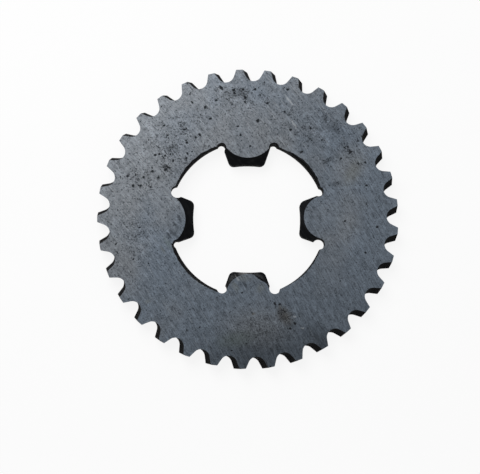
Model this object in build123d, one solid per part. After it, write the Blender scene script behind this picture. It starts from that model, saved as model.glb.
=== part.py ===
from build123d import *
from dataclasses import dataclass
from math import cos, pi, radians, sin, sqrt, tan
import os

# A chain sprocket cut from one steel plate: 33 teeth round the rim, and four lugs inside the
# bore that drive it.  It lies flat with its ground front face up.  The origin is on the axis,
# in the plane of the back face, and +Y runs through the middle of one lug.  Lengths are in mm.

# Rim
tooth_count = 33
chain_pitch = 12.7
roller_diameter = 7.75
roller_seat_ratio = 0.505     # seat radius over roller diameter
seating_angle = 128.0         # span of the seat's arc, in degrees
tip_diameter = 136.4
plate_thickness = 7.2
tooth_slant = 2.0             # how far the back end of each tooth is turned clockwise, in degrees
first_gap_bearing = 2.3       # from +Y clockwise to the middle of a tooth gap, on the front

# Bore and drive lugs
bore_diameter = 70.7
nose_hollow_radius = 46.0     # the nose is slightly hollow across its width
nose_width = 15.8             # between the lug's flanks, measured at the nose
flank_lean = 19.5             # of each flank from the lug's centreline, in degrees
nose_corner_radius = 2.6
relief_spread = 23.8          # between the centres of the two reliefs at a lug's foot
relief_inset = 1.1            # from the bore wall in to the relief's centre

# The front of each lug has a lead-in bevel, part of a cone that stands in the plate.  The edge
# it makes with the front face is an arc that runs out in the two reliefs.
bevel_slope = 30.0            # down from the front face, in degrees
bevel_runout = 0.7            # from the relief's centre out to where the arc ends

# Between the lugs the bore's front edge is dressed back by hand, steeply, along a crescent
dressing_slope = 72.0         # down from the front face, in degrees


@dataclass
class Lug:
    """A drive lug.  The lugs are cut one by one, so each is a little different."""

    nose_distance: float      # from the axis to the middle of its nose
    shift: float              # of its centreline, clockwise from its nominal place
    relief_radii: tuple       # at its anticlockwise and its clockwise side
    bevel_start: float        # from the axis to the arc of its bevel


@dataclass
class Dressing:
    """A crescent dressed off the bore's front edge, in the quarter clockwise from a lug."""

    reach: float              # from the axis to its widest point
    bearing: float            # of that point, clockwise from the lug before it
    edge_radius: float        # of the arc that it makes with the front face


# Clockwise from +Y
lugs = (
    Lug(nose_distance=24.5, shift=-0.3, relief_radii=(1.7, 1.6), bevel_start=27.5),
    Lug(nose_distance=23.95, shift=0.5, relief_radii=(2.1, 2.55), bevel_start=25.3),
    Lug(nose_distance=24.9, shift=0.45, relief_radii=(2.5, 2.2), bevel_start=25.6),
    Lug(nose_distance=24.8, shift=-0.2, relief_radii=(1.55, 2.8), bevel_start=28.4),
)
dressings = (
    Dressing(reach=36.25, bearing=50.0, edge_radius=25.8),
    Dressing(reach=36.0, bearing=41.0, edge_radius=28.5),
    Dressing(reach=37.05, bearing=51.0, edge_radius=31.8),
    Dressing(reach=35.8, bearing=43.0, edge_radius=33.0),
)

# Worked out from the sizes above
tooth_angle = 360 / tooth_count
lug_angle = 360 / len(lugs)
pitch_radius = chain_pitch / 2 / sin(pi / tooth_count)
seat_radius = roller_seat_ratio * roller_diameter
flank_radius = 0.008 * roller_diameter * (tooth_count**2 + 180)
bore_radius = bore_diameter / 2
relief_x = relief_spread / 2
relief_y = sqrt((bore_radius - relief_inset) ** 2 - relief_x**2)
overcut = 1.0                 # how far a cutter runs past a face


def gap_profile():
    """A tooth gap that opens along +Y: the roller's seat, then two slightly rounded flanks."""
    half_seat = radians(seating_angle / 2)
    seat_end_x = seat_radius * sin(half_seat)
    seat_end_y = pitch_radius - seat_radius * cos(half_seat)
    centre_x = seat_end_x + flank_radius * sin(half_seat)
    centre_y = seat_end_y - flank_radius * cos(half_seat)
    rise = tip_diameter / 2 + overcut - seat_end_y

    def flank_point(distance, side):
        angle = half_seat - distance / flank_radius
        x = centre_x - flank_radius * sin(angle)
        y = centre_y + flank_radius * cos(angle)
        return (side * x, y)

    length = rise / sin(half_seat)
    left = [flank_point(share * length, -1) for share in (1, 0.5, 0)]
    right = [flank_point(share * length, 1) for share in (0, 0.5, 1)]
    outline = Curve() + [
        ThreePointArc(*left),
        ThreePointArc(left[2], (0, pitch_radius - seat_radius), right[0]),
        ThreePointArc(*right),
        Line(right[2], left[0]),
    ]
    return make_face(outline)


def gap_cutter():
    """One tooth gap through the plate, turned a little from the front face to the back."""
    profile = gap_profile()
    turn_per_mm = tooth_slant / plate_thickness
    levels = (-overcut, plate_thickness + overcut)
    sections = []
    for z in levels:
        bearing = first_gap_bearing + turn_per_mm * (plate_thickness - z)
        sections.append(Pos(0, 0, z) * Rot(0, 0, -bearing) * profile)
    return loft(sections, ruled=True)


def lug_profile(lug):
    """One lug that points from +Y towards the axis, with its foot inside the plate."""
    foot_y = bore_radius + overcut
    tip_y = lug.nose_distance - overcut
    spread = tan(radians(flank_lean))
    foot_half = nose_width / 2 + spread * (foot_y - lug.nose_distance)
    tip_half = nose_width / 2 - spread * overcut
    wedge = Pos(lug.shift, 0) * Polygon(
        (-foot_half, foot_y), (foot_half, foot_y), (tip_half, tip_y), (-tip_half, tip_y), align=None
    )
    outline = wedge - Pos(0, lug.nose_distance - nose_hollow_radius) * Circle(nose_hollow_radius)
    nose_corners = outline.vertices().sort_by(Axis.Y)[:2]
    return fillet(nose_corners, nose_corner_radius)


def lug_reliefs(lug):
    """The round reliefs at the foot of the lug at +Y, anticlockwise side first."""
    return [
        Pos(side * relief_x, relief_y) * Circle(radius)
        for side, radius in zip((-1, 1), lug.relief_radii)
    ]


def bore_profile():
    """The bore as cut: a circle, less the lugs, with a relief at each side of each foot."""
    opening = Circle(bore_radius)
    for k, lug in enumerate(lugs):
        opening -= Rot(0, 0, -k * lug_angle) * lug_profile(lug)
    for k, lug in enumerate(lugs):
        opening += [Rot(0, 0, -k * lug_angle) * relief for relief in lug_reliefs(lug)]
    return opening


def bevel_cutter(lug):
    """What the lead-in bevel takes off the lug at +Y."""
    end_y = relief_y + bevel_runout
    left_x, right_x = [relief_x - sqrt(radius**2 - bevel_runout**2) for radius in lug.relief_radii]
    edge = ThreePointArc((-left_x, end_y), (lug.shift, lug.bevel_start), (right_x, end_y))
    reach = lug.bevel_start
    below = Polygon(
        (edge.radius, 0),
        (edge.radius + reach, 0),
        (edge.radius + reach, -reach * tan(radians(bevel_slope))),
        align=None,
    )
    above = Pos(edge.radius, 0) * Rectangle(reach, overcut, align=(Align.MIN, Align.MIN))
    ring = revolve(Plane.XZ * (below + above), Axis.Z)
    window = Pos(0, end_y, 0) * Box(
        2 * relief_x, end_y, 2 * plate_thickness, align=(Align.CENTER, Align.MAX, Align.CENTER)
    )
    return Pos(0, 0, plate_thickness) * (Pos(edge.arc_center) * ring & window)


def dressing_cutter(dressing):
    """What the dressing takes off the bore's front edge between the lugs at +Y and +X."""
    offset = dressing.reach - dressing.edge_radius
    centre = Rot(0, 0, -dressing.bearing) * Pos(0, offset, 0)
    narrowing = (plate_thickness + overcut) / tan(radians(dressing_slope))
    cone = Cone(
        dressing.edge_radius - narrowing,
        dressing.edge_radius,
        plate_thickness + overcut,
        align=(Align.CENTER, Align.CENTER, Align.MAX),
    )
    rim = Cylinder(dressing.edge_radius, overcut, align=(Align.CENTER, Align.CENTER, Align.MIN))
    window = Pos(relief_x, relief_x, 0) * Box(
        dressing.reach, dressing.reach, 4 * plate_thickness, align=(Align.MIN, Align.MIN, Align.CENTER)
    )
    return Pos(0, 0, plate_thickness) * (centre * (cone + rim) & window)


def build_sprocket():
    plate = Cylinder(
        tip_diameter / 2, plate_thickness, align=(Align.CENTER, Align.CENTER, Align.MIN)
    )
    cutter = gap_cutter()
    plate -= [Rot(0, 0, -k * tooth_angle) * cutter for k in range(tooth_count)]
    plate -= Pos(0, 0, -overcut) * extrude(bore_profile(), plate_thickness + 2 * overcut)
    for k, lug in enumerate(lugs):
        plate -= Rot(0, 0, -k * lug_angle) * bevel_cutter(lug)
    for k, dressing in enumerate(dressings):
        plate -= Rot(0, 0, -k * lug_angle) * dressing_cutter(dressing)
    return plate


os.makedirs("parts", exist_ok=True)
sprocket = build_sprocket()
sprocket.label = "sprocket"
export_step(sprocket, "parts/sprocket.step")
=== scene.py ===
from functools import reduce
from math import cos, pi, radians, sin

import bpy
from mathutils import Matrix, Vector


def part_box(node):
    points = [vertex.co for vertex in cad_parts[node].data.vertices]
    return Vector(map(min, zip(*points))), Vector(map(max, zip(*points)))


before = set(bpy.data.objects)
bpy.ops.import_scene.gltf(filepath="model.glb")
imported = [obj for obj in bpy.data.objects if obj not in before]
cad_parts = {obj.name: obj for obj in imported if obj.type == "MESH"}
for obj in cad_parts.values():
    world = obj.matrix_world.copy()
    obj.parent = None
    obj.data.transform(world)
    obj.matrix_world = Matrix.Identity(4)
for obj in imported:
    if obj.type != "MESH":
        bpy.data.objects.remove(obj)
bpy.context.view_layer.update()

MM = 0.001
plate_low, plate_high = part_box("sprocket")
PLATE_THICKNESS = (plate_high.z - plate_low.z) / MM


# ---------------------------------------------------------------- shader maths

# Where a Mix node keeps its colour sockets
MIX_SHARE, MIX_FIRST, MIX_SECOND, MIX_RESULT = 0, 6, 7, 2


class Value:
    """A socket of a material.  Arithmetic on it adds Math nodes."""

    def __init__(self, finish, socket):
        self.finish = finish
        self.socket = socket

    def maths(self, operation, *others):
        inputs = dict(enumerate((self,) + others))
        return self.finish.node("ShaderNodeMath", inputs, operation=operation)

    def __add__(self, other):
        return self.maths("ADD", other)

    def __sub__(self, other):
        return self.maths("SUBTRACT", other)

    def __mul__(self, other):
        return self.maths("MULTIPLY", other)

    def __abs__(self):
        return self.maths("ABSOLUTE")

    def __rsub__(self, other):
        return self.finish.number(other).maths("SUBTRACT", self)

    __radd__ = __add__


class Finish:
    """A material under construction."""

    def __init__(self, name):
        self.material = bpy.data.materials.new(name)
        self.material.use_nodes = True
        self.tree = self.material.node_tree
        self.tree.nodes.clear()

    def node(self, kind, inputs=None, output=0, **settings):
        """Adds a node: its settings first, then the values or links of its sockets."""
        made = self.tree.nodes.new(kind)
        for name, setting in settings.items():
            setattr(made, name, setting)
        for name, value in (inputs or {}).items():
            if isinstance(value, Value):
                self.tree.links.new(value.socket, made.inputs[name])
            else:
                made.inputs[name].default_value = value
        return Value(self, made.outputs[output]) if made.outputs else None

    def number(self, amount):
        return self.node("ShaderNodeMath", {0: amount, 1: 0.0}, operation="ADD")

    def vector(self, operation, first, second, output="Vector"):
        inputs = {0: first, 1: second}
        return self.node("ShaderNodeVectorMath", inputs, output, operation=operation)

    def vector_scale(self, vector, factor):
        return self.node("ShaderNodeVectorMath", {0: vector, "Scale": factor}, operation="SCALE")

    def combine(self, x, y, z):
        return self.node("ShaderNodeCombineXYZ", {0: x, 1: y, 2: z})

    def split(self, vector):
        return [self.node("ShaderNodeSeparateXYZ", {0: vector}, axis) for axis in range(3)]

    def mix(self, share, first, second, blend="MIX"):
        """A colour between two colours."""
        return self.node(
            "ShaderNodeMix",
            {MIX_SHARE: share, MIX_FIRST: first, MIX_SECOND: second},
            MIX_RESULT,
            data_type="RGBA",
            blend_type=blend,
        )

    def noise(self, place, scale, detail, roughness, output=0):
        inputs = {"Vector": place, "Scale": scale, "Detail": detail, "Roughness": roughness}
        return self.node("ShaderNodeTexNoise", inputs, output)

    def centred_noise(self, place, scale, detail, roughness):
        """Noise about 0 rather than about a half."""
        return self.noise(place, scale, detail, roughness) - 0.5

    def step(self, value, low, high):
        """A smooth rise from 0 at low to 1 at high, or a fall from 1 to 0 if low is above high."""
        start, end = (0.0, 1.0) if low < high else (1.0, 0.0)
        return self.node(
            "ShaderNodeMapRange",
            {
                "Value": value,
                "From Min": min(low, high),
                "From Max": max(low, high),
                "To Min": start,
                "To Max": end,
            },
            interpolation_type="SMOOTHSTEP",
        )

    def shader(self, sockets, strength, distance, height):
        """A Principled shader with these sockets, and a relief of this height."""
        bump = self.node(
            "ShaderNodeBump", {"Strength": strength, "Distance": distance, "Height": height}
        )
        return self.node("ShaderNodeBsdfPrincipled", {**sockets, "Normal": bump})

    def mix_shader(self, share, first, second):
        return self.node("ShaderNodeMixShader", {0: share, 1: first, 2: second})

    def output(self, shader):
        self.node("ShaderNodeOutputMaterial", {"Surface": shader})
        return self.material


def greatest(values):
    return reduce(lambda one, other: one.maths("MAXIMUM", other), values)


def grey(level):
    return (level, level, level, 1.0)


# ---------------------------------------------------------------- marks on the front face

# Each mark is x, y, half length, half width and bearing of the length, in mm and degrees
# anticlockwise from +X
PITS = (
    (-11.9, 59.6, 1.9, 0.8, 125), (-6.3, 58.7, 1.2, 0.8, 40), (-2.1, 58.9, 1.0, 0.8, 0),
    (-1.2, 55.2, 1.1, 0.8, 110), (3.5, 59.0, 0.9, 0.8, 0), (-19.3, 50.6, 1.2, 0.9, 60),
    (-17.0, 45.4, 1.1, 0.8, 20), (-21.9, 38.0, 1.2, 0.8, 130), (-23.7, 36.8, 0.9, 0.7, 0),
    (-3.3, 37.9, 0.9, 0.7, 90), (-42.0, 28.6, 1.0, 0.8, 0), (-40.2, 29.0, 0.9, 0.7, 50),
    (-27.7, 34.4, 0.9, 0.8, 0), (-27.5, 29.4, 1.0, 0.7, 120), (-27.9, 27.1, 0.9, 0.7, 0),
    (-33.9, 26.0, 1.1, 0.8, 80), (-36.0, 22.9, 1.6, 0.6, 150), (-43.2, 21.2, 1.0, 0.8, 0),
    (-47.3, 18.4, 1.1, 0.7, 120), (-54.5, 18.9, 1.0, 0.8, 0), (-40.6, 18.4, 0.9, 0.8, 60),
    (-52.1, 14.5, 1.2, 0.8, 100), (-44.1, 14.0, 1.0, 0.7, 0), (-4.5, 41.9, 0.9, 0.7, 0),
    (-38.1, 42.1, 0.9, 0.7, 30), (-14.2, 53.9, 0.9, 0.7, 0), (-25.4, 53.0, 1.1, 0.6, 130),
    (9.1, 52.6, 0.9, 0.8, 0), (16.8, 48.7, 0.8, 0.7, 0), (4.6, 44.5, 1.2, 1.1, 70),
    (18.2, 58.9, 0.9, 0.7, 0), (19.5, 40.3, 1.0, 0.8, 0), (28.6, 41.0, 0.9, 0.7, 120),
    (24.3, 30.0, 0.9, 0.7, 0), (46.7, 30.0, 1.3, 0.9, 60), (44.1, 32.1, 0.8, 0.7, 0),
    (42.4, 27.2, 0.8, 0.6, 0), (53.6, 25.3, 1.0, 0.7, 120), (1.1, 32.8, 0.8, 0.7, 0),
    (53.9, 14.8, 0.9, 0.7, 0), (-58.9, -15.9, 0.9, 0.5, 120), (-59.6, -11.9, 0.8, 0.5, 60),
    (-51.8, -18.8, 0.7, 0.5, 0), (-48.9, -4.4, 0.8, 0.5, 40), (-27.7, -50.9, 0.8, 0.5, 110),
    (-22.0, -49.5, 0.8, 0.5, 60), (-7.6, -60.1, 0.9, 0.5, 0), (-2.9, -34.0, 0.7, 0.5, 0),
    (12.0, -39.1, 1.3, 0.7, 120), (20.9, -48.0, 1.2, 0.7, 130), (18.6, -50.3, 0.9, 0.7, 0),
    (14.0, -39.3, 0.9, 0.7, 0), (58.6, -4.3, 0.9, 0.7, 0), (44.0, -1.6, 0.8, 0.6, 0),
    (53.1, -16.0, 0.8, 0.6, 0),
)
SMUDGES = (
    (-29.3, 40.9, 2.8, 1.8, 125), (-32.3, 32.5, 2.4, 1.7, 110), (-5.0, 57.2, 8.0, 3.0, 10),
    (21.8, 38.4, 2.2, 1.4, 120), (50.8, 23.9, 2.2, 1.3, 60), (35.4, 47.2, 3.8, 1.0, 120),
    (36.4, 26.3, 5.4, 1.5, 33), (40.5, 15.8, 5.0, 1.4, 12), (45.4, 31.4, 4.4, 1.3, 120),
    (39.5, 40.5, 6.5, 2.2, 155), (15.0, -43.5, 5.0, 3.0, 122), (19.6, -49.0, 2.6, 1.2, 130),
)
STROKES = (
    (-31.4, 0.5, 1.8, 0.8, 125), (-30.7, -1.3, 1.4, 0.7, 125), (-33.1, -3.1, 1.8, 0.8, 128),
    (-32.2, -4.0, 1.8, 0.8, 128), (-34.8, -6.4, 2.0, 1.0, 130), (-33.6, -7.4, 1.8, 0.9, 130),
    (-36.2, -7.4, 1.6, 0.7, 130), (-35.2, -8.8, 1.6, 0.7, 130), (-1.6, -30.4, 2.4, 0.9, 128),
)
SPECK_CHAINS = (
    (36.4, 26.3, 6.0, 1.8, 33), (40.5, 15.8, 6.0, 1.6, 12), (45.0, 31.6, 5.0, 1.8, 125),
    (36.0, 45.0, 4.5, 1.5, 118), (28.0, 36.0, 5.0, 2.0, 140), (51.5, 24.5, 3.8, 1.6, 153),
    (41.0, 42.0, 7.5, 4.0, 140), (-5.5, 57.6, 8.0, 3.0, 8), (-1.2, 54.2, 3.0, 2.2, 100),
    (50.0, 15.2, 5.0, 1.2, 0), (-36.0, 30.0, 6.0, 3.5, 45), (-29.5, 40.8, 4.0, 2.6, 100),
    (-37.5, 23.0, 5.0, 2.6, 150), (-50.0, 16.5, 5.0, 2.0, 100), (16.3, -44.3, 7.0, 4.4, 122),
    (19.4, -49.3, 3.6, 1.8, 130), (12.6, -39.6, 2.4, 1.0, 10), (-56.5, -14.0, 3.0, 2.0, 90),
)
SCUFFS = (
    (19.0, 54.0, 4.0, 0.7, 128), (21.0, 43.0, 3.6, 0.6, 122), (-22.9, -28.9, 0.9, 0.5, 45),
    (-20.3, -30.5, 0.9, 0.5, 30), (21.0, -45.0, 0.8, 0.6, 0), (24.4, -50.1, 0.8, 0.6, 0),
    (-4.8, -27.9, 1.6, 0.5, 116),
)
RUST_MARKS = (
    (16.3, -44.3, 7.2, 4.4, 122), (2.1, -43.6, 1.2, 0.9, 0), (14.3, -40.9, 2.4, 1.4, 100),
)
OIL_MARKS = ((-36.4, -11.3, 5.0, 1.8, 122), (-6.0, -55.1, 13.0, 6.0, 10))
STAINS = (
    (-2.0, -27.4, 5.0, 2.6, 0), (-6.0, -31.0, 4.0, 2.4, 120), (5.5, -32.0, 3.5, 2.5, 60),
    (48.0, 21.0, 11.0, 5.0, 60), (-45.5, -38.0, 2.2, 1.4, 0), (-38.5, -14.5, 3.6, 0.8, 122),
)

# Zones: with more specks, with more contrast, of warmer steel, darker with painted shade and
# lighter with painted light
DENSE_ZONES = (
    (-31.0, 36.0, 22.0, 13.0, 40), (-47.0, 18.0, 16.0, 11.0, 70), (-4.0, 55.0, 22.0, 9.0, 0),
    (21.0, 43.0, 18.0, 12.0, 130), (46.0, 29.0, 16.0, 11.0, 60), (-33.0, 26.0, 12.0, 9.0, 60),
    (16.5, -44.5, 9.0, 6.5, 125), (4.0, -52.0, 20.0, 11.0, 0), (-50.0, -9.0, 13.0, 8.0, 70),
)
BLOTCHY_ZONES = ((6.0, -50.0, 22.0, 13.0, 0), (34.0, 40.0, 14.0, 9.0, 130))
WARM_ZONES = ((4.0, -50.0, 24.0, 15.0, 0), (46.0, 24.0, 17.0, 12.0, 60))
# Painted shade at the bottom and lower right, away from the light at the upper left
PAINTED_SHADE_ZONES = ((6.0, -64.0, 46.0, 24.0, 8), (33.0, -56.0, 24.0, 11.0, 150))
# Painted light on the right side, as a second lamp at the right would give
PAINTED_LIGHT_ZONES = ((56.0, 6.0, 50.0, 30.0, 90),)

# Marks on the bottom lug: two kinds on its bevel, partly burnish and partly a painted highlight of
# light from the top, then one where the bevel runs on over the face
BURNISH_AND_HIGHLIGHT = ((-1.4, -25.8, 4.6, 1.8, 172), (-5.4, -26.6, 2.4, 0.5, 126))
SIDE_RUB_AND_HIGHLIGHT = ((4.4, -26.6, 4.4, 2.4, 150), (-7.6, -27.2, 3.4, 2.0, 50))
ROLLED_STRIPS = ((4.9, -27.2, 5.2, 0.9, 143),)

# How far below the front face a mark still shows, in mm
MARK_DEPTH = 2.0

# Chatter ripples beside the top lug's clockwise relief
RIPPLE_CENTRE = (11.0, 41.0, PLATE_THICKNESS)
RIPPLE_PITCH = 1.7
RIPPLED = ((6.5, 36.8, 5.0, 3.2, 150),)

# Where the front face rolls over at the bore the wheel misses it and the scale stays: x and y of
# a circle's centre, then the radius that the scale reaches out to
DRESSED_RIMS = (
    (9.307, 7.810, 24.50), (5.660, -4.920, 28.55), (-4.080, -3.304, 31.9), (-4.242, 3.956, 30.50),
)
RELIEF_RIMS = (
    (-11.9, 32.11, 2.2), (11.9, 32.11, 2.35), (-32.11, -11.9, 2.05), (32.11, 11.9, 2.3),
)
LUG_HALF = 11.6


def placed_marks(f, place, marks, softness, edge=0.02):
    """1 inside each mark, 0 well outside all of them."""

    def one_mark(x, y, half_length, half_width, bearing):
        centred = f.node(
            "ShaderNodeMapping",
            {
                "Vector": place,
                "Location": (x, y, PLATE_THICKNESS),
                "Rotation": (0.0, 0.0, radians(bearing)),
                "Scale": (half_length, half_width, MARK_DEPTH),
            },
            vector_type="TEXTURE",
        )
        inputs = {"Vector": centred}
        return f.node("ShaderNodeTexGradient", inputs, "Fac", gradient_type="SPHERICAL")

    return f.step(greatest(one_mark(*mark) for mark in marks), edge, softness)


def inside_circles(f, place, circles):
    """How far a point is inside the nearest of the circles, in mm."""
    return greatest(
        radius - f.vector("DISTANCE", place, (centre_x, centre_y, 0.0), "Value")
        for centre_x, centre_y, radius in circles
    )


# ---------------------------------------------------------------- where a point is

# The grinding marks are arcs of a large wheel, whose centre is off the plate's lower left
WHEEL_X, WHEEL_Y = -370.0, -260.0
WHEEL_REACH = 450.0

# Noises are given by their scale, detail and roughness
WANDER_NOISE = (0.9, 2.0, 0.5)
WANDER_REACH = 1.6            # in mm
GRAIN_NOISE = (1.5, 2.0, 0.65)
SCALE_GRAIN_NOISE = (1.4, 3.0, 0.6)

# Size of the normal's z where a surface starts to count as a bevel or as a flat face, and where
# it fully does
BEVEL_START, BEVEL_FULL = 0.60, 0.75
FLAT_START, FLAT_FULL = 0.93, 0.97


class Plate:
    """Where a point of the plate is, in mm, and the patterns that its surfaces share."""

    def __init__(self, f):
        self.place = f.vector_scale(f.node("ShaderNodeTexCoord", output="Object"), 1 / MM)
        self.x, self.y, self.z = f.split(self.place)
        normal = f.node("ShaderNodeTexCoord", output="Normal")
        tilt = abs(f.split(normal)[2])
        self.flat = f.step(tilt, FLAT_START, FLAT_FULL)
        self.not_flat = f.step(tilt, FLAT_FULL, FLAT_START)
        self.bevelled = f.step(tilt, BEVEL_START, BEVEL_FULL) * self.not_flat

        from_wheel = f.combine(self.x - WHEEL_X, self.y - WHEEL_Y, 0.0)
        self.across = f.vector("LENGTH", from_wheel, (0.0, 0.0, 0.0), "Value")
        self.along = (self.y - WHEEL_Y).maths("ARCTAN2", self.x - WHEEL_X) * WHEEL_REACH

        wander = f.noise(self.place, *WANDER_NOISE, output="Color")
        self.wander = f.vector_scale(f.vector("SUBTRACT", wander, (0.5, 0.5, 0.5)), WANDER_REACH)
        self.wandering = f.vector("ADD", self.place, self.wander)
        self.grain = f.centred_noise(self.place, *GRAIN_NOISE)
        self.scale_grain = f.noise(self.place, *SCALE_GRAIN_NOISE)


def wheel_marks(f, plate, across, along, lift, detail, roughness):
    """Noise that is stretched along the wheel's arcs, and moved by lift to differ from others."""
    stretched = f.combine(plate.across * across, plate.along * along, plate.z + lift)
    return f.noise(stretched, 1.0, detail, roughness)


def shear_marks(f, plate, around, through, detail, roughness):
    """Noise that is stretched through the plate's thickness."""
    stretched = f.combine(plate.x * around, plate.y * around, plate.z * through)
    return f.noise(stretched, 1.0, detail, roughness)


# ---------------------------------------------------------------- rolled rims

RAGGED_NOISE = (0.9, 2.0, 0.6)
RAGGED_REACH = 0.9            # in mm, along the bore
RELIEF_RAGGEDNESS = 0.5       # of that, round the reliefs
RIM_BLUR = 0.1
LUG_BLUR = 0.2

# How far below the front face the scale on it starts to show, and where it fully does, in mm
SKIN_START, SKIN_FULL = 0.2, 0.1


def rolled_rims(f, plate):
    """1 where the front face keeps its scale, along the bore and round the reliefs."""
    ragged = f.centred_noise(plate.place, *RAGGED_NOISE) * RAGGED_REACH
    flat_place = f.combine(plate.x, plate.y, 0.0)
    along_bore = inside_circles(f, flat_place, DRESSED_RIMS) + ragged
    round_reliefs = inside_circles(f, flat_place, RELIEF_RIMS) + ragged * RELIEF_RAGGEDNESS
    clear_of_lugs = abs(plate.x).maths("MINIMUM", abs(plate.y)) - LUG_HALF
    rolled = greatest((
        f.step(along_bore, -RIM_BLUR, RIM_BLUR) * f.step(clear_of_lugs, 0.0, LUG_BLUR),
        f.step(round_reliefs, -RIM_BLUR, RIM_BLUR),
        placed_marks(f, plate.place, ROLLED_STRIPS, softness=0.6),
    ))
    return rolled * f.step(plate.z, PLATE_THICKNESS - SKIN_START, PLATE_THICKNESS - SKIN_FULL)


# ---------------------------------------------------------------- ground faces

STEEL_COOL = (0.146, 0.176, 0.214, 1.0)
STEEL_WARM = (0.178, 0.194, 0.213, 1.0)
PIT_BLACK = (0.008, 0.009, 0.011, 1.0)
RUST_BROWN = (0.098, 0.078, 0.052, 1.0)
OIL_GREEN = (0.100, 0.128, 0.110, 1.0)
STAIN_YELLOW = (0.205, 0.205, 0.150, 1.0)
SCUFF_PALE = (0.45, 0.47, 0.49, 1.0)

# The surface is roughest at the top and left: weights of x and y, and the range of their sum
CROWD_X, CROWD_Y = 0.5, 0.6
CROWD_START, CROWD_FULL = -45.0, 40.0

# Marks of the wheel: scale across and along its arcs, lift, detail and roughness
FINE_MARKS = (2.0, 0.26, 0.0, 3.0, 0.65)
BROAD_MARKS = (0.45, 0.05, 40.0, 2.0, 0.5)
SCRATCHES = (2.2, 0.09, 80.0, 1.0, 0.4)
SCRATCH_START, SCRATCH_FULL = 0.62, 0.74
SCRATCH_SHARE, CROWDED_SCRATCH_SHARE = 0.10, 0.16

# Warm and cool steel: drift is how fast the warmth grows to the upper left, per mm
CLOUD_NOISE = (0.035, 2.0, 0.5)
WARMTH_DRIFT = 0.0030
WARMTH_START, WARMTH_FULL = 0.36, 0.78
WARM_ZONE_SHARE = 0.75

# How much each pattern changes the steel's tone
MOTTLE_NOISE = (0.45, 2.0, 0.5)
GRAIN_CONTRAST, MOTTLE_CONTRAST = 1.2, 0.8
LIVELINESS, CROWDED_LIVELINESS, BLOTCHY_LIVELINESS = 0.75, 0.25, 0.8
FINE_CONTRAST, CROWDED_FINE_LOSS = 1.8, 0.4
BROAD_CONTRAST = 0.5
RIPPLE_CONTRAST = 0.13
# Painted shade and painted light
PAINTED_SHADE_LOSS = 0.50
PAINTED_LIGHT_GAIN = 0.18

# Tints that are laid over the steel in turn: marks, softness, share and colour
TINTS = (
    (OIL_MARKS, 0.9, 0.35, OIL_GREEN),
    (STAINS, 0.9, 0.22, STAIN_YELLOW),
    (SCUFFS, 0.6, 0.50, SCUFF_PALE),
    (RUST_MARKS, 0.9, 0.50, RUST_BROWN),
)

# Specks: noise, where it turns into a speck, and how much likelier one is in the crowded part,
# in the dense zones and in the chains
COARSE_SPECKS = ((0.75, 2.0, 0.55), (0.715, 0.755), (0.035, 0.045, 0.07))
FINE_SPECKS = ((1.6, 1.0, 0.5), (0.655, 0.715), (0.045, 0.05, 0.10))
FINE_SPECK_SHIFT = (31.0, 17.0, 0.0)
PIT_WANDER = 0.5
SMUDGE_SHARE, SMUDGE_GRAIN = 0.30, 1.6
STROKE_SHARE = 0.50
FINE_SPECK_SHARE = 0.65
PIT_SHARE = 0.93

GROUND_METALLIC = 0.85
GROUND_ROUGHNESS, GRAIN_ROUGHNESS, PIT_ROUGHNESS = 0.36, 0.20, 0.2
GROUND_BUMP, GROUND_RELIEF = 0.35, 0.00004
FINE_MARK_HEIGHT, PIT_HEIGHT = 1.5, 1.5


def steel_tone(f, plate, crowd, fine_marks):
    """How light the steel is, about 1, with painted shade at the bottom and painted light at the
    right.
    """
    mottle = f.centred_noise(plate.place, *MOTTLE_NOISE)
    broad_marks = wheel_marks(f, plate, *BROAD_MARKS) - 0.5
    blotchy = placed_marks(f, plate.place, BLOTCHY_ZONES, softness=0.9)
    liveliness = LIVELINESS + crowd * CROWDED_LIVELINESS + blotchy * BLOTCHY_LIVELINESS
    from_ripples = f.vector("DISTANCE", plate.place, RIPPLE_CENTRE, "Value")
    ripples = (from_ripples * (2 * pi / RIPPLE_PITCH)).maths("SINE")
    ripples = ripples * placed_marks(f, plate.place, RIPPLED, softness=0.6)
    # Painted shade darkens the bottom and lower right, painted light lightens the right side
    painted_shade = placed_marks(f, plate.place, PAINTED_SHADE_ZONES, softness=1.0)
    lit = placed_marks(f, plate.place, PAINTED_LIGHT_ZONES, softness=0.6)

    tone = 1.0 + (plate.grain * GRAIN_CONTRAST + mottle * MOTTLE_CONTRAST) * liveliness
    tone = tone + fine_marks * (FINE_CONTRAST - crowd * CROWDED_FINE_LOSS)
    tone = tone + broad_marks * BROAD_CONTRAST + ripples * RIPPLE_CONTRAST
    return tone * (1.0 - painted_shade * PAINTED_SHADE_LOSS) * (1.0 + lit * PAINTED_LIGHT_GAIN)


def speckled(f, place, crowding, noise, threshold, likelier):
    """1 in each speck, 0 between them."""
    level = f.noise(place, *noise)
    for zone, amount in zip(crowding, likelier):
        level = level + zone * amount
    return f.step(level, *threshold)


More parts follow.
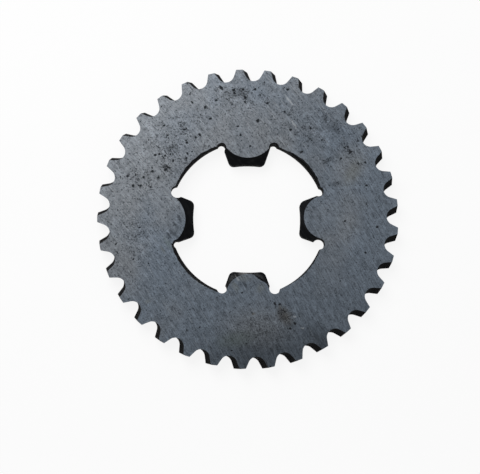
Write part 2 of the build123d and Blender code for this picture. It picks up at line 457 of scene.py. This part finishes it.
def ground_shader(f, plate):
    crowd = f.step(plate.y * CROWD_Y - plate.x * CROWD_X, CROWD_START, CROWD_FULL)
    fine_marks = wheel_marks(f, plate, *FINE_MARKS) - 0.5
    scratches = f.step(wheel_marks(f, plate, *SCRATCHES), SCRATCH_START, SCRATCH_FULL)

    cloud = f.noise(plate.place, *CLOUD_NOISE) + (plate.y - plate.x) * WARMTH_DRIFT
    warm_zones = placed_marks(f, plate.place, WARM_ZONES, softness=0.9)
    warmth = greatest((f.step(cloud, WARMTH_START, WARMTH_FULL), warm_zones * WARM_ZONE_SHARE))
    tone = steel_tone(f, plate, crowd, fine_marks)
    steel = f.mix(warmth, STEEL_COOL, STEEL_WARM)
    steel = f.mix(1.0, steel, f.combine(tone, tone, tone), "MULTIPLY")
    steel = f.mix(scratches * (SCRATCH_SHARE + crowd * CROWDED_SCRATCH_SHARE), steel, SCUFF_PALE)
    for marks, softness, share, colour in TINTS:
        steel = f.mix(placed_marks(f, plate.wandering, marks, softness) * share, steel, colour)

    dense = placed_marks(f, plate.place, DENSE_ZONES, softness=0.9)
    chains = placed_marks(f, plate.place, SPECK_CHAINS, softness=0.8)
    crowding = (crowd, dense, chains)
    shifted = f.vector("ADD", plate.place, FINE_SPECK_SHIFT)
    fine_specks = speckled(f, shifted, crowding, *FINE_SPECKS)
    uneven_place = f.vector("ADD", plate.place, f.vector_scale(plate.wander, PIT_WANDER))
    pitted = greatest((
        speckled(f, plate.place, crowding, *COARSE_SPECKS),
        placed_marks(f, uneven_place, PITS, softness=0.50, edge=0.12),
    ))
    smudges = placed_marks(f, plate.wandering, SMUDGES, softness=0.8)
    strokes = placed_marks(f, plate.place, STROKES, softness=0.6)
    for share in (
        smudges * (SMUDGE_SHARE + plate.grain * SMUDGE_GRAIN),
        strokes * STROKE_SHARE,
        fine_specks * FINE_SPECK_SHARE,
        pitted * PIT_SHARE,
    ):
        steel = f.mix(share, steel, PIT_BLACK)

    roughness = GROUND_ROUGHNESS + plate.grain * GRAIN_ROUGHNESS + pitted * PIT_ROUGHNESS
    height = fine_marks * FINE_MARK_HEIGHT + plate.grain - pitted * PIT_HEIGHT
    sockets = {"Base Color": steel, "Metallic": GROUND_METALLIC, "Roughness": roughness}
    return f.shader(sockets, GROUND_BUMP, GROUND_RELIEF, height)


# ---------------------------------------------------------------- bevels

BEVEL_DARK = (0.0045, 0.0050, 0.0060, 1.0)
# Pale grey where scale is rubbed through, also the colour of a painted highlight
BEVEL_BURNISH_AND_HIGHLIGHT = (0.2100, 0.2150, 0.2150, 1.0)

# Scale that is rubbed through along the wheel's arcs everywhere, and more lightening in two sets
# of marks on the bottom lug's bevel, partly burnish and partly a painted highlight of light from
# the top
RUB_MARKS = (0.6, 0.07, 0.0, 3.0, 0.6)
RUB_START, RUB_FULL = 0.45, 0.7
RUB_SHARE = 0.03
# Shares and grain of the painted highlight, partly burnish, on the bottom lug's bevel
BURNISH_AND_HIGHLIGHT_SHARE, BURNISH_AND_HIGHLIGHT_GRAIN = 0.58, 1.5
SIDE_RUB_AND_HIGHLIGHT_SHARE, SIDE_RUB_AND_HIGHLIGHT_GRAIN = 0.16, 0.4
RUB_METALLIC = 0.6
BEVEL_ROUGHNESS, BEVEL_GRAIN_ROUGHNESS = 0.52, 0.16
BEVEL_SPECULAR = 0.06
BEVEL_BUMP, BEVEL_RELIEF = 0.3, 0.00005


def bevel_shader(f, plate):
    # The bottom lug's bevel faces the light at the top: these marks are partly burnish and partly
    # a painted highlight
    burnish_and_highlight = placed_marks(f, plate.wandering, BURNISH_AND_HIGHLIGHT, softness=0.8)
    side_rub_and_highlight = placed_marks(f, plate.wandering, SIDE_RUB_AND_HIGHLIGHT, softness=0.9)
    rub_and_highlight = greatest((
        f.step(wheel_marks(f, plate, *RUB_MARKS), RUB_START, RUB_FULL) * RUB_SHARE,
        burnish_and_highlight * (BURNISH_AND_HIGHLIGHT_SHARE + plate.grain * BURNISH_AND_HIGHLIGHT_GRAIN),
        side_rub_and_highlight * (SIDE_RUB_AND_HIGHLIGHT_SHARE + plate.grain * SIDE_RUB_AND_HIGHLIGHT_GRAIN),
    ))
    sockets = {
        "Base Color": f.mix(rub_and_highlight, BEVEL_DARK, BEVEL_BURNISH_AND_HIGHLIGHT),
        "Metallic": rub_and_highlight * RUB_METALLIC,
        "Roughness": BEVEL_ROUGHNESS + plate.scale_grain * BEVEL_GRAIN_ROUGHNESS,
        "Specular IOR Level": BEVEL_SPECULAR,
    }
    return f.shader(sockets, BEVEL_BUMP, BEVEL_RELIEF, plate.scale_grain)


# ---------------------------------------------------------------- walls and tooth flanks

SCALE_BLACK = (0.0018, 0.0019, 0.0021, 1.0)
SCALE_GREY = (0.0095, 0.0099, 0.0106, 1.0)
SCALE_BROWN = (0.0190, 0.0140, 0.0100, 1.0)
SHEAR_GREY = (0.0650, 0.0670, 0.0700, 1.0)
EDGE_WORN = (0.1700, 0.1780, 0.1880, 1.0)

# Marks of the shear: scale around the plate and through it, detail and roughness
DULL_MARKS = (1.6, 0.25, 3.0, 0.6)
DULL_START, DULL_FULL = 0.38, 0.68
BRIGHT_MARKS = (2.4, 0.16, 2.0, 0.5)
BRIGHT_START, BRIGHT_FULL = 0.58, 0.70
BRIGHT_SHARE = 0.30

FLECK_NOISE = (0.8, 3.0, 0.6)
FLECK_START, FLECK_FULL = 0.60, 0.72
FLECK_SHARE = 0.6

# The walls are worn bright near both faces: heights from the middle of the plate, in mm
WEAR_START, WEAR_FULL = 3.40, 3.60
WEAR_NOISE = (0.6, 2.0, 0.6)
WEAR_REACH = 0.5
WEAR_SHARE = 0.75

WALL_ROUGHNESS, DULL_ROUGHNESS = 0.70, 0.12
WALL_SPECULAR = 0.02
WALL_BUMP, WALL_RELIEF = 0.3, 0.00006


def wall_shader(f, plate):
    """Black scale, with upright marks of the shear and bright worn edges."""
    dull = f.step(shear_marks(f, plate, *DULL_MARKS), DULL_START, DULL_FULL)
    bright = f.step(shear_marks(f, plate, *BRIGHT_MARKS), BRIGHT_START, BRIGHT_FULL)
    flecks = f.step(f.noise(plate.place, *FLECK_NOISE), FLECK_START, FLECK_FULL)
    from_middle = abs(plate.z - PLATE_THICKNESS / 2)
    uneven = f.centred_noise(plate.place, *WEAR_NOISE) * WEAR_REACH
    worn = f.step(from_middle + uneven, WEAR_START, WEAR_FULL) * plate.not_flat

    wall = f.mix(dull, SCALE_BLACK, SCALE_GREY)
    wall = f.mix(flecks * FLECK_SHARE, wall, SCALE_BROWN)
    wall = f.mix(bright * BRIGHT_SHARE, wall, SHEAR_GREY)
    wall = f.mix(worn * WEAR_SHARE, wall, EDGE_WORN)
    sockets = {
        "Base Color": wall,
        "Roughness": WALL_ROUGHNESS + dull * DULL_ROUGHNESS,
        "Specular IOR Level": WALL_SPECULAR,
    }
    return f.shader(sockets, WALL_BUMP, WALL_RELIEF, plate.scale_grain)


# ---------------------------------------------------------------- the whole plate

def plate_finish():
    f = Finish("ground_steel_and_scale")
    plate = Plate(f)
    scaled = f.mix_shader(plate.bevelled, wall_shader(f, plate), bevel_shader(f, plate))
    ground = plate.flat * (1.0 - rolled_rims(f, plate))
    return f.output(f.mix_shader(ground, scaled, ground_shader(f, plate)))


def dress(node, material):
    node.data.materials.clear()
    node.data.materials.append(material)


dress(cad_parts["sprocket"], plate_finish())


# ---------------------------------------------------------------- floor

FLOOR_HALF = 20.0
FLOOR_COLOUR = grey(0.90)
FLOOR_WHITE_SHARE = 0.88
WHITE_TO_RAYS = ("Is Camera Ray", "Is Glossy Ray", "Is Transmission Ray")


def floor_finish():
    f = Finish("pale_floor")
    lit = f.node("ShaderNodeBsdfDiffuse", {"Color": FLOOR_COLOUR})
    white = f.node("ShaderNodeEmission", {"Color": grey(1.0), "Strength": 1.0})
    seen = greatest(f.node("ShaderNodeLightPath", output=ray) for ray in WHITE_TO_RAYS)
    return f.output(f.mix_shader(seen * FLOOR_WHITE_SHARE, lit, white))


def lay_floor():
    bpy.ops.object.select_all(action="DESELECT")
    bpy.ops.mesh.primitive_plane_add(size=2 * FLOOR_HALF, location=(0, 0, plate_low.z))
    floor = bpy.context.object
    floor.name = "floor"
    bpy.ops.object.transform_apply(location=True, rotation=True, scale=True)
    dress(floor, floor_finish())


lay_floor()


# ---------------------------------------------------------------- light

WORLD_LEVEL = 0.33
KEY_PLACE = (-0.24, 0.38, 0.55)
KEY_SIDE = 0.50
KEY_RADIANCE = 5.0


def light_world(level):
    world = bpy.data.worlds.new("studio")
    world.use_nodes = True
    background = world.node_tree.nodes["Background"]
    background.inputs["Color"].default_value = grey(1.0)
    background.inputs["Strength"].default_value = level
    bpy.context.scene.world = world


def add_softbox(name, place, side, radiance):
    """A square lamp that faces the plate and shines with this radiance."""
    lamp = bpy.data.lights.new(name, "AREA")
    lamp.shape = "SQUARE"
    lamp.size = side
    lamp.energy = pi * side**2 * radiance
    box = bpy.data.objects.new(name, lamp)
    bpy.context.scene.collection.objects.link(box)
    box.location = place
    box.rotation_euler = Vector(place).to_track_quat("Z", "Y").to_euler()


light_world(WORLD_LEVEL)
add_softbox("key_upper_left", KEY_PLACE, KEY_SIDE, KEY_RADIANCE)


# ---------------------------------------------------------------- camera

# The picture's size and the place of the front face's centre in it, in pixels from its top left
FRAME_WIDTH, FRAME_HEIGHT = 480, 474
FACE_CENTRE_RIGHT, FACE_CENTRE_DOWN = 248.14, 217.70
PIXEL = 0.45261 * MM          # on the front face
CAMERA_DISTANCE = 1724 * PIXEL
TILT_X = radians(-6.85)
TILT_Y = radians(1.99)
SENSOR_WIDTH = 36.0


def place_camera():
    right = Vector((cos(TILT_Y), sin(TILT_X) * sin(TILT_Y), cos(TILT_X) * sin(TILT_Y)))
    up = Vector((0.0, cos(TILT_X), -sin(TILT_X)))
    back = right.cross(up)
    face_centre = Vector((0.0, 0.0, plate_high.z))
    eye = face_centre + back * CAMERA_DISTANCE
    to_right = (FACE_CENTRE_RIGHT - FRAME_WIDTH / 2) * PIXEL
    to_top = (FRAME_HEIGHT / 2 - FACE_CENTRE_DOWN) * PIXEL
    aim = face_centre - right * to_right - up * to_top
    back = (eye - aim).normalized()
    right = up.cross(back).normalized()
    up = back.cross(right)
    camera_data = bpy.data.cameras.new("camera")
    camera_data.sensor_width = SENSOR_WIDTH
    camera_data.lens = SENSOR_WIDTH * CAMERA_DISTANCE / (FRAME_WIDTH * PIXEL)
    camera = bpy.data.objects.new("camera", camera_data)
    bpy.context.scene.collection.objects.link(camera)
    turn = Matrix((right, up, back)).transposed().to_4x4()
    camera.matrix_world = Matrix.Translation(eye) @ turn
    bpy.context.scene.camera = camera


place_camera()
bpy.context.scene.view_settings.view_transform = "Standard"
